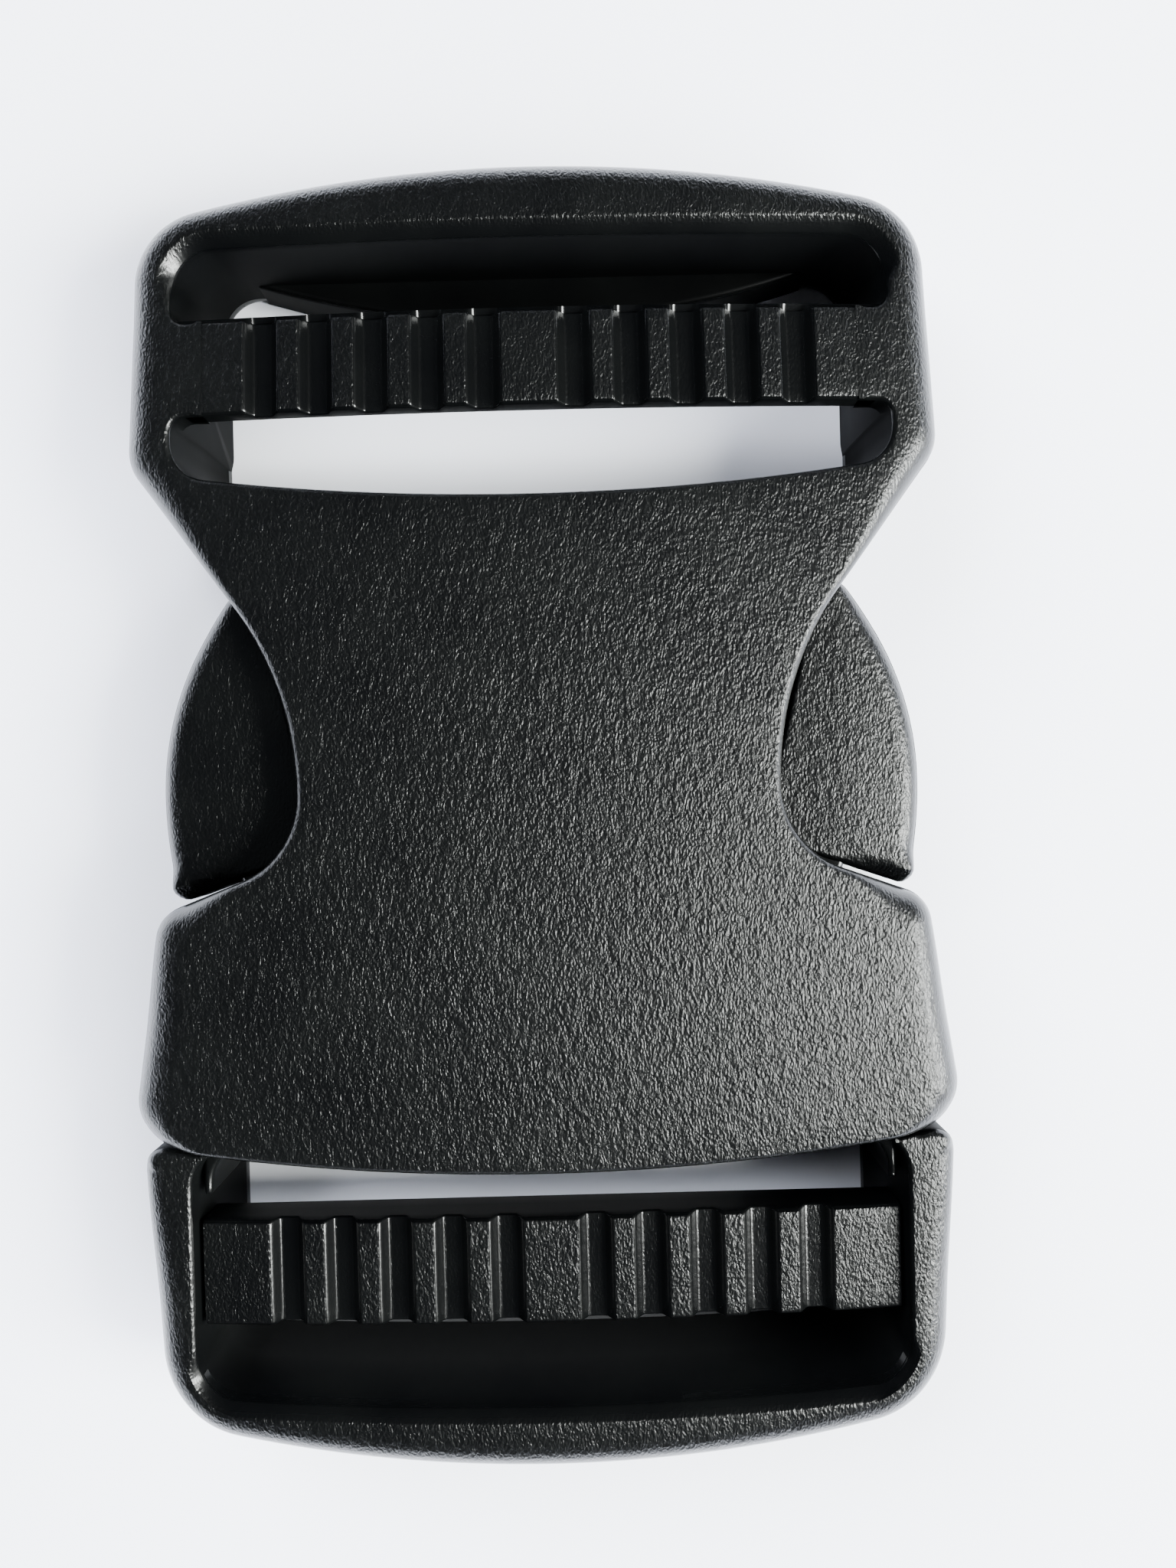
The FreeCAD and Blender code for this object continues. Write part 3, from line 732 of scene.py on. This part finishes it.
def ladder_bar(name, half_width, box, front, taper, foot, bulge):
    """A ribbed bar: stations along X, each with the same closed section. Its back is narrower by
    taper on each side, with edges of radius foot, and its far side stands out by bulge."""
    builder = Builder()
    y_low, y_high, back = box[0][1], box[1][1], box[0][2]
    taper_top = back + BAR_TAPER_HEIGHT
    turn = np.linspace(0, math.pi / 2, 5)
    rings = []
    for x in groove_stations(half_width):
        share = groove_share(x)
        depth = share * GROOVE_DEPTH + (STUB_LAP if abs(x) > STUB_X + STUB_LAP_START else 0)
        grain_here = GROOVE_WALL_GRAIN
        if share < ALMOST_FLAT:
            grain_here = 1.0
        elif share > 1 - ALMOST_FLAT:
            grain_here = GROOVE_FLOOR_GRAIN
        round_here = BAR_EDGE * (1 - share / 2)
        points, grain = [], []

        def put(y, z, amount):
            points.append((x, y, z))
            grain.append(amount)

        def top(y):
            return float(front(np.array(x), np.array(y))) - depth

        def front_edge(wall_y, inwards, angles):
            for angle in angles:
                y = wall_y + inwards * round_here * (1 - math.cos(angle))
                z = top(y) - round_here * (1 - math.sin(angle))
                put(y, z, grain_here if angle > GRAIN_FROM_ANGLE else 0.0)

        def back_edge(wall_y, inwards, angles):
            for angle in angles:
                y = wall_y + inwards * foot * (1 - math.cos(angle))
                put(y, back + foot * (1 - math.sin(angle)), 0.0)

        side_z = top((y_low + y_high) / 2) + depth - GROOVE_DEPTH - BAR_SIDE_DROP
        put(y_low, side_z, 0.0)
        front_edge(y_low, 1, turn)
        for t in np.linspace(0.1, 0.9, 5):
            y = y_low + round_here + (y_high - y_low - 2 * round_here) * t
            put(y, top(y), grain_here)
        front_edge(y_high, -1, turn[::-1])
        put(y_high + bulge, side_z + BULGE_RISE, 0.0)
        put(y_high - taper / 2, taper_top, 0.0)
        back_edge(y_high - taper, -1, turn)
        back_edge(y_low + taper, 1, turn[::-1])
        put(y_low + taper / 2, taper_top, 0.0)
        rings.append(builder.add(points, grain))
    for a, b in zip(rings, rings[1:]):
        builder.ring_faces(b, a)
    builder.faces.append(rings[0][::-1].tolist())
    builder.faces.append(rings[-1].tolist())
    return builder.mesh(name)


# ---------------------------------------------------------------- the plug moulding
PLUG_END_Y = node_box("plug_end_bar")[0][1]
PLUG_SLOT_FRONT_Y = -35.82
PLUG_SLOT_BACK_Y = -34.2
PLUG_SLOT_BOW = 0.6
PLUG_TOP_Y = MOUTH_Y - 0.35
PLUG_MOUTH_HALF = 24.95
PLUG_END_HALF = 24.05
PLUG_FRAME_CORNER = 6.0
PLUG_MOUTH_CORNER = 1.5
PLUG_BAR_DROP = 0.8
PLUG_INSIDE_REACH = 0.6
WEB_CORNER = 0.3
JOINT_LAP = 0.2  # the beam and the rails run into each other by this much
PLUG_SIDE_RIM = 1.9
PLUG_TOP_RIM = 1.35
MOUTH_RIM_FALL = 0.85  # the plug's rim thins by this much at the socket's mouth
PLUG_SLOT_RIM = 0.3
PLUG_SLOT_END_RIM = 0.75
PLUG_SIDE_SPAN = (-30.0, -22.0)
MOUTH_FALL_SPAN = (-21.0, -19.9)
PLUG_SLOT_SPAN = (-34.0, -32.0)


def plug_loop(half, slot_y):
    """The plug's frame as one U, open where the cross-beam joins its rails."""
    top = (PLUG_MOUTH_HALF, PLUG_TOP_Y + bow(MOUTH_RADIUS, PLUG_MOUTH_HALF))
    corner = (PLUG_END_HALF, PLUG_END_Y + bow(END_RADIUS, PLUG_END_HALF))
    slot_side_y = slot_y + PLUG_SLOT_BOW
    beam_y = BEAM_LOW[1] + JOINT_LAP
    fillet = round_about((half - SLOT_CORNER, beam_y - SLOT_CORNER), SLOT_CORNER, math.pi / 3, 0)
    web = (fillet[0][0], PLUG_TOP_Y + bow(MOUTH_RADIUS, fillet[0][0]))
    inner_side = np.vstack([[web], fillet, [[half, slot_side_y]]])
    slot_bottom = bowed(half, slot_side_y, slot_y)[::-1]
    mouth_edge = straight(top, web, 16)
    chains = [
        mouth_edge,
        inner_side,
        slot_bottom,
        mirror(inner_side),
        mirror(mouth_edge),
        mirror(straight(corner, top)),
        bowed(corner[0], corner[1], PLUG_END_Y),
        straight(corner, top),
    ]
    inner_radii = [WEB_CORNER, SLOT_CORNER, SLOT_CORNER, WEB_CORNER]
    outer_radii = [PLUG_MOUTH_CORNER, PLUG_FRAME_CORNER, PLUG_FRAME_CORNER]
    return loop_pieces(chains, [PLUG_MOUTH_CORNER] + inner_radii + outer_radii)


def build_plug():
    front, back = matched_loops(
        plug_loop(SLOT_HALF + SLOT_DRAFT, PLUG_SLOT_FRONT_Y), plug_loop(SLOT_HALF, PLUG_SLOT_BACK_Y)
    )

    def inside(x, y):
        across = np.abs(x) < SLOT_HALF + SLOT_DRAFT + PLUG_INSIDE_REACH
        return across & (y > PLUG_SLOT_FRONT_Y - PLUG_INSIDE_REACH / 2)

    def rim(x, y):
        outer = between(PLUG_SIDE_RIM, PLUG_TOP_RIM, y, PLUG_SIDE_SPAN)
        outer = outer - MOUTH_RIM_FALL * ease(y, *MOUTH_FALL_SPAN)
        inner = between(PLUG_SLOT_END_RIM, PLUG_SLOT_RIM, y, PLUG_SLOT_SPAN)
        return np.where(inside(x, y), inner, outer)

    def chamfered(x, y):
        return np.where(inside(x, y), between(SLOT_CHAMFER, 0, y, PLUG_SLOT_SPAN), 0.0)

    frame_piece = slab([(front, back, chamfered)], level(0), plug_front, rim).mesh("plug_frame")
    bar_front = crown(PLUG_CROWN_Z - PLUG_BAR_DROP, PLUG_CROWN_Y)
    bar = ladder_bar(
        "plug_bar",
        SLOT_HALF + PLUG_BAR_RUN_IN,
        (PLUG_BAR_LOW, PLUG_BAR_HIGH),
        bar_front,
        taper=0.0,
        foot=PLUG_BAR_FOOT,
        bulge=0.0,
    )
    obj = joined("plug_moulding", [frame_piece, bar, build_beam(), build_tongue()])
    smooth(obj)
    return obj


BEAM_RIM = 0.3
BEAM_CORNER = 0.8
BEAM_FOOT = 0.6  # the beam's ends reach this far past its fillets
BEAM_OVER_TONGUE = 0.5


def build_beam():
    """The cross-beam inside the mouth, down to where it joins the rails."""
    half = BEAM_HIGH[0]
    low, high = BEAM_LOW[1] + JOINT_LAP, BEAM_HIGH[1]
    web = SLOT_HALF - SLOT_CORNER
    foot_y = low - SLOT_CORNER - BEAM_FOOT
    fillet = round_about((web, low - SLOT_CORNER), SLOT_CORNER, math.pi / 2, 0, 16)
    underside = np.vstack([mirror(fillet), straight((-web, low), (web, low), 60)[1:], fillet[1:]])
    chains = [
        straight((half, high), (-half, high), 60),
        straight((-half, high), (-half, foot_y), 12),
        straight((-half, foot_y), (-SLOT_HALF, foot_y), 4),
        underside,
        straight((SLOT_HALF, foot_y), (half, foot_y), 4),
        straight((half, foot_y), (half, high), 12),
    ]
    loop = evenly(closed_loop(chains, [BEAM_CORNER, BEAM_CORNER, 0, 0, 0, 0]))
    tongue_low, tongue_high = node_box("plug_tongue")
    z_low, z_high = tongue_low[2] - BEAM_OVER_TONGUE, tongue_high[2] + BEAM_OVER_TONGUE
    return plain_plate("beam", loop, z_low, z_high, BEAM_RIM, BEAM_RIM)


TONGUE_TIP = 2.4  # radius of the tongue's end
TONGUE_ROOT = 1.0  # how far the tongue runs into the beam
TONGUE_RIM = 0.5
TONGUE_BACK_RIM = 0.4


def build_tongue():
    low, high = node_box("plug_tongue")
    base = low[1] - TONGUE_ROOT
    start = high[1] - TONGUE_TIP
    chains = [
        straight((-high[0], base), (high[0], base), 12),
        straight((high[0], base), (TONGUE_TIP, start), 40),
        round_about((0, start), TONGUE_TIP, 0, math.pi, 40),
        straight((-TONGUE_TIP, start), (-high[0], base), 40),
    ]
    loop = evenly(closed_loop(chains, [0, 0, 0, 0]))
    return plain_plate("tongue", loop, low[2], high[2], TONGUE_RIM, TONGUE_BACK_RIM)


# ---------------------------------------------------------------- the arms
HINGE = np.array([12.5, -16.3])
BUTTON_HALF = node_box("right_thumb_pad")[1][0]
BUTTON_UPPER = 18.49
BUTTON_LOWER = 25.99
BUTTON_WIDEST_Y = 1.6
BUTTON_TIP_Y = 13.8
BUTTON_INNER_X = 14.2
BUTTON_NECK_X = 17.2
LATCH_GAP = 0.2
BUTTON_CORNERS = [0.5, 0.9, 0.8, 1.5, 0.5]  # tip to heel
BUTTON_GRAIN = 0.8
BUTTON_PITCH = 0.45
BUTTON_RIM = 0.3
BUTTON_SIDE_RIM = 1.1  # added on the outer side, above the shoulder
BUTTON_SIDE_SPAN = (17.0, 21.0)
SHOULDER_RIM_SPAN = (-4.3, -2.6)
SHOULDER_FALL = 1.3  # the front slopes down to the shoulder by this much
SHOULDER_FALL_WIDTH = 1.0
SHOULDER_FALL_SPAN = (17.5, 22.5)
BUTTON_CROWN = 0.35  # and outwards by this much
BUTTON_CROWN_SPAN = (18.0, 25.0)
ARM_LEAN = math.radians(20.0)
ARM_HALF = 1.3
ARM_ROOT = 1.2  # how far the arm runs into the cross-beam
ARM_SHORT = 2.0  # how far before the waist's middle it stops
ARM_INSET = 0.3  # from the CAD arm's faces
ARM_RIM = 0.4


def shoulder_y(x):
    latch_x = WAIST_HALF + WAIST_LOWER * (1 - math.sin(LATCH_SLOPE))
    latch_y = WAIST_Y - WAIST_LOWER * math.cos(LATCH_SLOPE)
    return latch_y + LATCH_GAP / math.cos(LATCH_SLOPE) - (x - latch_x) * math.tan(LATCH_SLOPE)


def button_edge_x(y):
    radius = np.where(y > BUTTON_WIDEST_Y, BUTTON_UPPER, BUTTON_LOWER)
    return BUTTON_HALF - bow(radius, y - BUTTON_WIDEST_Y)


def button_loop():
    corner_y = shoulder_y(BUTTON_HALF - 1)
    y = np.linspace(corner_y, BUTTON_TIP_Y, 80)
    outer = np.stack([button_edge_x(y), y], 1)
    neck = (BUTTON_NECK_X, BUTTON_TIP_Y)
    inner = (BUTTON_INNER_X, BUTTON_WIDEST_Y)
    heel = (BUTTON_INNER_X, shoulder_y(BUTTON_INNER_X))
    loop = closed_loop(
        [
            outer,
            straight(outer[-1], neck, 12),
            straight(neck, inner),
            straight(inner, heel, 12),
            straight(heel, outer[0]),
        ],
        BUTTON_CORNERS,
    )
    return evenly(loop)


def build_button(side):
    loop = button_loop()
    low, high = (corner[2] for corner in node_box("right_release_button"))
    if side < 0:
        loop = mirror(loop)

    def rim(x, y):
        side_share = ease(np.abs(x), *BUTTON_SIDE_SPAN) * ease(y, *SHOULDER_RIM_SPAN)
        return BUTTON_RIM + BUTTON_SIDE_RIM * side_share

    def front(x, y):
        x = np.abs(x)
        above_shoulder = (y - shoulder_y(x)) * math.cos(LATCH_SLOPE)
        near_shoulder = ease(SHOULDER_FALL_WIDTH - above_shoulder, 0, SHOULDER_FALL_WIDTH)
        fall = SHOULDER_FALL * near_shoulder * ease(x, *SHOULDER_FALL_SPAN)
        return high - BUTTON_CROWN * ease(x, *BUTTON_CROWN_SPAN) - fall

    name = "right_button" if side > 0 else "left_button"
    builder = slab([(loop, loop, level(0))], level(low), front, rim, grain=BUTTON_GRAIN, pitch=BUTTON_PITCH)
    return builder.mesh(name)


def build_arm(side):
    """The flexing beam from the cross-beam to the button."""
    low, high = node_box("right_spring_arm")
    along = np.array([math.sin(ARM_LEAN), math.cos(ARM_LEAN)])
    across = np.array([math.cos(ARM_LEAN), -math.sin(ARM_LEAN)])
    length = (WAIST_Y - HINGE[1]) / math.cos(ARM_LEAN) - ARM_SHORT
    steps = np.linspace(-ARM_ROOT, length, 40)
    right = np.array([HINGE + along * s + across * ARM_HALF for s in steps])
    left = np.array([HINGE + along * s - across * ARM_HALF for s in steps])
    loop = evenly(np.vstack([right, left[::-1]]))
    if side < 0:
        loop = mirror(loop)
    name = "right_arm_beam" if side > 0 else "left_arm_beam"
    return plain_plate(name, loop, low[2] + ARM_INSET, high[2] - ARM_INSET, ARM_RIM, ARM_RIM)


# ---------------------------------------------------------------- material
FACE_SPECULAR = 0.42
FACE_ROUGHNESS = (0.22, 0.35)  # from a bare face to a grained one
# The slot walls' copy of the plastic is partly a rougher wall and partly painted shade: its reflection is
# nearly cut out, so the walls stay dark as if in shadow.
WALL_SHADE_SPECULAR = 0.03
WALL_ROUGHNESS = (0.50, 0.60)
DARKER = (0.0007, 0.0008, 0.0009, 1)
LIGHTER = (0.0016, 0.0018, 0.0017, 1)
TINT_SPAN = (0.3, 0.75)
GRAIN_TURN = math.radians(35)  # the grain lies diagonally, and longer one way
GRAIN_STRETCH = (1.3, 0.75, 1.0)
WARP_SCALE = 1500.0  # scales are per metre
WARP_REACH = 0.0005
CELL_SCALE = 5200.0
CELL_SMOOTHNESS = 0.6
CELL_HEIGHT = 0.9
WRINKLE_SCALE = 5200.0
WRINKLE_ROUGHNESS = 0.65
SOFT_SCALE = 160.0  # slow changes of tint, sheen and level
SOFT_HEIGHT = 0.25
BUMP_STRENGTH = 0.8
BUMP_DISTANCE = 0.000065
GRAIN_IN_ROUGHNESS = 0.75
SOFT_IN_ROUGHNESS = 0.3


class Shading:
    """A material's node tree, with short ways to add to it."""

    def __init__(self, name):
        self.material = bpy.data.materials.new(name)
        self.material.use_nodes = True
        self.nodes = self.material.node_tree.nodes
        self.links = self.material.node_tree.links
        self.shader = self.nodes["Principled BSDF"]
        self.coords = self.nodes.new("ShaderNodeTexCoord").outputs["Object"]

    def noise(self, source, scale, detail, roughness=0.5):
        made = self.nodes.new("ShaderNodeTexNoise")
        made.inputs["Scale"].default_value = scale
        made.inputs["Detail"].default_value = detail
        made.inputs["Roughness"].default_value = roughness
        self.links.new(source, made.inputs["Vector"])
        return made

    def sum(self, *terms):
        """Adds (socket, share) pairs."""
        total = None
        for socket_out, share in terms:
            term = self.nodes.new("ShaderNodeMath")
            term.operation = "MULTIPLY_ADD"
            self.links.new(socket_out, term.inputs[0])
            term.inputs[1].default_value = share
            term.inputs[2].default_value = 0.0
            if total is not None:
                self.links.new(total, term.inputs[2])
            total = term.outputs[0]
        return total

    def times(self, a, b):
        made = self.nodes.new("ShaderNodeMath")
        made.operation = "MULTIPLY"
        self.links.new(a, made.inputs[0])
        self.links.new(b, made.inputs[1])
        return made.outputs[0]

    def bump(self, height, strength, distance):
        made = self.nodes.new("ShaderNodeBump")
        made.inputs["Strength"].default_value = strength
        made.inputs["Distance"].default_value = distance
        self.links.new(height, made.inputs["Height"])
        self.links.new(made.outputs["Normal"], self.shader.inputs["Normal"])


def warped_coords(shading):
    """Object coordinates, turned and stretched, and bent so that the grain doesn't line up."""
    stretch = shading.nodes.new("ShaderNodeMapping")
    stretch.inputs["Rotation"].default_value = (0, 0, GRAIN_TURN)
    stretch.inputs["Scale"].default_value = GRAIN_STRETCH
    shading.links.new(shading.coords, stretch.inputs["Vector"])
    warp = shading.noise(stretch.outputs["Vector"], WARP_SCALE, 2.0)
    bent = shading.nodes.new("ShaderNodeVectorMath")
    bent.operation = "MULTIPLY_ADD"
    shading.links.new(warp.outputs["Color"], bent.inputs[0])
    bent.inputs[1].default_value = (WARP_REACH, WARP_REACH, WARP_REACH)
    shading.links.new(stretch.outputs["Vector"], bent.inputs[2])
    return bent.outputs[0]


def black_plastic(name, specular, roughness):
    """Near-black moulded plastic: leather-like spark-eroded grain where the mesh says so."""
    shading = Shading(name)
    grain = shading.nodes.new("ShaderNodeAttribute")
    grain.attribute_name = "grain"
    amount = grain.outputs["Fac"]
    bent = warped_coords(shading)
    cells = shading.nodes.new("ShaderNodeTexVoronoi")
    cells.feature = "SMOOTH_F1"
    cells.inputs["Scale"].default_value = CELL_SCALE
    cells.inputs["Smoothness"].default_value = CELL_SMOOTHNESS
    shading.links.new(bent, cells.inputs["Vector"])
    wrinkles = shading.noise(bent, WRINKLE_SCALE, 3.0, WRINKLE_ROUGHNESS)
    soft = shading.noise(shading.coords, SOFT_SCALE, 4.0).outputs["Fac"]
    leather = shading.sum((cells.outputs["Distance"], CELL_HEIGHT), (wrinkles.outputs["Fac"], 1.0))
    relief = shading.sum((shading.times(leather, amount), 1.0), (soft, SOFT_HEIGHT))
    shading.bump(relief, BUMP_STRENGTH, BUMP_DISTANCE)

    sheen = shading.nodes.new("ShaderNodeMapRange")
    sheen.inputs["To Min"].default_value = roughness[0]
    sheen.inputs["To Max"].default_value = roughness[1]
    mixed = shading.sum((amount, GRAIN_IN_ROUGHNESS), (soft, SOFT_IN_ROUGHNESS))
    shading.links.new(mixed, sheen.inputs["Value"])
    shading.links.new(sheen.outputs["Result"], shading.shader.inputs["Roughness"])

    tint = shading.nodes.new("ShaderNodeValToRGB")
    for stop, place, colour in zip(tint.color_ramp.elements, TINT_SPAN, (DARKER, LIGHTER)):
        stop.position = place
        stop.color = colour
    shading.links.new(soft, tint.inputs["Fac"])
    shading.links.new(tint.outputs["Color"], shading.shader.inputs["Base Color"])
    shading.shader.inputs["Specular IOR Level"].default_value = specular
    return shading.material


PAPER_COLOUR = (0.84, 0.85, 0.89, 1)
PAPER_ROUGHNESS = 0.85
PAPER_SCALE = 900.0
PAPER_BUMP = (0.12, 0.0001)  # strength and distance


def paper():
    shading = Shading("paper")
    fibres = shading.noise(shading.coords, PAPER_SCALE, 6.0)
    shading.bump(fibres.outputs["Fac"], *PAPER_BUMP)
    shading.shader.inputs["Base Color"].default_value = PAPER_COLOUR
    shading.shader.inputs["Roughness"].default_value = PAPER_ROUGHNESS
    return shading.material


# ---------------------------------------------------------------- assemble
socket = build_socket()
plug = build_plug()
buttons = {side: build_button(sign) for side, sign in (("left", -1), ("right", 1))}
beams = {side: build_arm(sign) for side, sign in (("left", -1), ("right", 1))}
plastic = black_plastic("black_plastic", FACE_SPECULAR, FACE_ROUGHNESS)
# A copy of the plastic for the long bare walls, with its reflection nearly cut out as painted shade.
shaded_wall_plastic = black_plastic("shaded_wall_black_plastic", WALL_SHADE_SPECULAR, WALL_ROUGHNESS)
for obj in [socket, plug, *buttons.values(), *beams.values()]:
    turn_faces_and_shade_walls(obj, [plastic, shaded_wall_plastic])
    smooth(obj)
for node in frame["nodes"].values():
    node.data.materials.clear()
    node.data.materials.append(plastic)

bodies = frame["record"]["behaviour"]["bodies"]
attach(socket, "socket")
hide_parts(*bodies["socket"])
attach(plug, "plug")
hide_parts(*bodies["plug"])
for side, sign in (("left", -1), ("right", 1)):
    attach(buttons[side], f"{side}_arm")
    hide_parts(f"{side}_release_button", f"{side}_thumb_pad")
    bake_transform(beams[side])
    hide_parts(f"{side}_spring_arm")

# ---------------------------------------------------------------- floor, light and camera
FLOOR_SIZE = 3.0  # metres, as are the places below
FLOOR_DROP = 0.00002
WINDOW_PLACE = (0.62, -0.13, 0.41)
WINDOW_SIZE = (0.30, 0.44)
WINDOW_POWER = 32.0
WINDOW_COLOUR = (0.97, 1.0, 0.97)
WALL_PLACE = (0.38, -0.46, 0.42)  # pale walls that light the paper but don't show in the plastic
WALL_POWER = 30.0
FAR_WALL_POWER = 26.0
WALL_SIZE = (0.6, 0.6)
WALL_COLOUR = (0.86, 0.90, 1.0)
ROOM_COLOUR = (0.80, 0.84, 0.90, 1)
ROOM_STRENGTH = 0.07
CAMERA_PLACE = (0.0029, 0.00175, 0.0806)
CAMERA_ROLL = math.radians(-1.45)
CAMERA_LENS = 27.1
CAMERA_SENSOR = 36.0
CAMERA_NEAR = 0.001


def area_light(name, place, size, power, colour):
    """A rectangular light, facing the buckle."""
    data = bpy.data.lights.new(name, "AREA")
    data.shape = "RECTANGLE"
    data.size, data.size_y = size
    data.energy = power
    data.color = colour
    obj = bpy.data.objects.new(name, data)
    obj.location = place
    obj.rotation_euler = (-Vector(place)).to_track_quat("-Z", "Y").to_euler()
    bpy.context.scene.collection.objects.link(obj)
    return obj


bpy.ops.mesh.primitive_plane_add(size=FLOOR_SIZE, location=(0, 0, -FLOOR_DROP))
floor = bpy.context.object
floor.name = "paper_sheet"
floor.data.materials.append(paper())

area_light("window", WINDOW_PLACE, WINDOW_SIZE, WINDOW_POWER, WINDOW_COLOUR)
far_wall_place = (-WALL_PLACE[0], -WALL_PLACE[1], WALL_PLACE[2])
for name, place, power in (("wall", WALL_PLACE, WALL_POWER), ("far_wall", far_wall_place, FAR_WALL_POWER)):
    area_light(name, place, WALL_SIZE, power, WALL_COLOUR).visible_glossy = False
world = bpy.data.worlds.new("room")
world.use_nodes = True
background = world.node_tree.nodes["Background"]
background.inputs["Color"].default_value = ROOM_COLOUR
background.inputs["Strength"].default_value = ROOM_STRENGTH
bpy.context.scene.world = world

camera_data = bpy.data.cameras.new("camera")
camera_data.lens = CAMERA_LENS
camera_data.sensor_width = CAMERA_SENSOR
camera_data.clip_start = CAMERA_NEAR
camera = bpy.data.objects.new("camera", camera_data)
camera.location = CAMERA_PLACE
camera.rotation_euler = (0, 0, CAMERA_ROLL)
bpy.context.scene.collection.objects.link(camera)
bpy.context.scene.camera = camera
